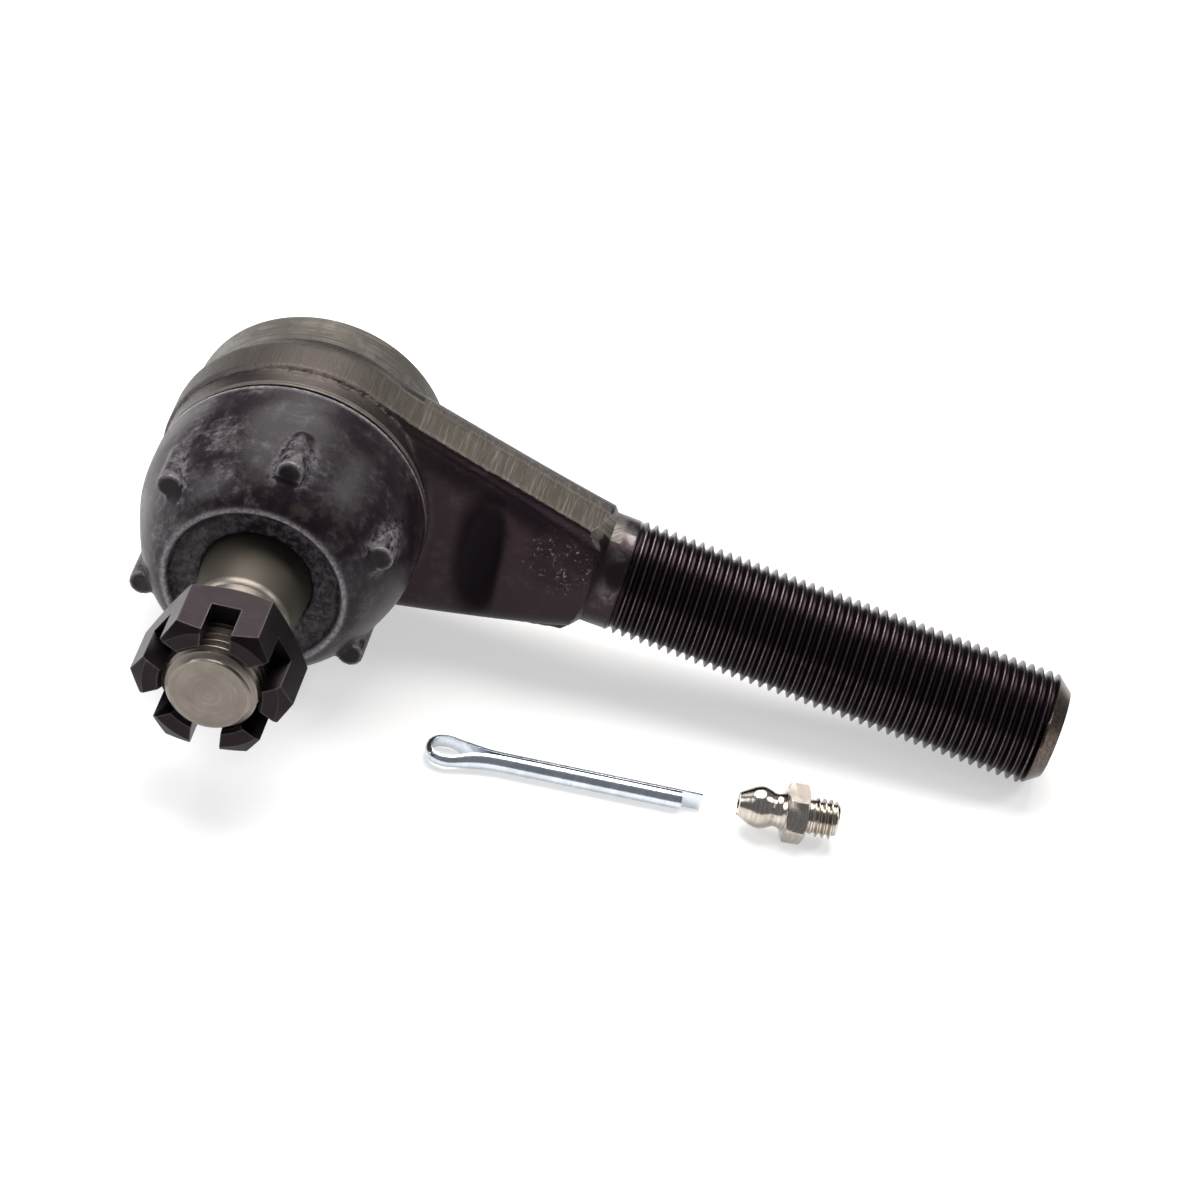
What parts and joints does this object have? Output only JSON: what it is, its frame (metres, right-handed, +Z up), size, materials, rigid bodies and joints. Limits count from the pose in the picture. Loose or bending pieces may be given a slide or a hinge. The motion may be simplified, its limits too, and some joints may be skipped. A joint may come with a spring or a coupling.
{
  "type": "tie rod end",
  "caption": "Greasable tie rod end: forged socket on a threaded shank, tapered ball stud with castle nut, rubber dust boot, loose cotter pin and grease fitting.",
  "frame": {"origin": "on the surface the part lies on, under the middle of its bounding box", "axes": "+Z up from that surface, +X from the socket towards the threaded shank's end; the ball stud points along -Y"},
  "size_m": [0.1438, 0.071, 0.0434],
  "materials": {
    "forging": "black satin coat over a forged skin, bare at the trimmed flash line",
    "cover_plate": "pressed steel, oiled",
    "spring_steel": "spring steel",
    "sintered_bearing": "sintered, greased",
    "ring_steel": "pressed steel",
    "boot_rubber": "moulded rubber with a chalky bloom",
    "stud_steel": "ground taper, turned end, rolled thread",
    "nut_black": "black oxide, satin",
    "pin_zinc": "bright zinc plate",
    "fitting_nickel": "bright nickel plate"
  },
  "bodies": {
    "socket": {"forged_body": "forging", "cover_plate": "cover_plate", "preload_disc_spring": "spring_steel", "rear_ball_seat": "sintered_bearing", "boot_seat_ring": "ring_steel"},
    "bearing": {"front_bearing": "sintered_bearing", "dust_boot": "boot_rubber"},
    "boot_lip": {"boot_lip_ring": "ring_steel"},
    "stud": {"ball_stud": "stud_steel"},
    "nut": {"castle_nut": "nut_black"},
    "loose_pin": {"cotter_pin": "pin_zinc"},
    "loose_fitting": {"grease_fitting_body": "fitting_nickel", "grease_fitting_spring": "spring_steel"},
    "check_ball": {"grease_fitting_ball": "spring_steel"}
  },
  "joints": [
    {"name": "swing_direction", "type": "hinge", "parent": "socket", "child": "bearing", "pos_m": [-0.05032, 0.02146, 0.02163], "axis": [-0.002, -0.9998, -0.0189], "continuous": true},
    {"name": "stud_tilt", "type": "hinge", "parent": "bearing", "child": "boot_lip", "pos_m": [-0.05032, 0.02146, 0.02163], "axis": [0.1053, -0.019, 0.9943], "range_deg": [-20, 20], "deforming": ["dust_boot"]},
    {"name": "stud_spin", "type": "hinge", "parent": "boot_lip", "child": "stud", "pos_m": [-0.05032, 0.02146, 0.02163], "axis": [-0.002, -0.9998, -0.0189], "continuous": true},
    {"name": "castle_nut_off", "type": "slide", "parent": "stud", "child": "nut", "axis": [-0.002, -0.9998, -0.0189], "range_m": [0, 0.025]},
    {"name": "cotter_pin_lift", "type": "slide", "parent": "socket", "child": "loose_pin", "axis": [0, 0, 1], "range_m": [0, 0.03]},
    {"name": "grease_fitting_lift", "type": "slide", "parent": "socket", "child": "loose_fitting", "axis": [0, 0, 1], "range_m": [0, 0.03]},
    {"name": "check_ball_press", "type": "slide", "parent": "loose_fitting", "child": "check_ball", "axis": [0.9885, 0.1513, 0], "range_m": [0, 0.001], "stiffness_N_per_m": 200, "springref_m": -0.0005, "deforming": ["grease_fitting_spring"]}
  ]
}
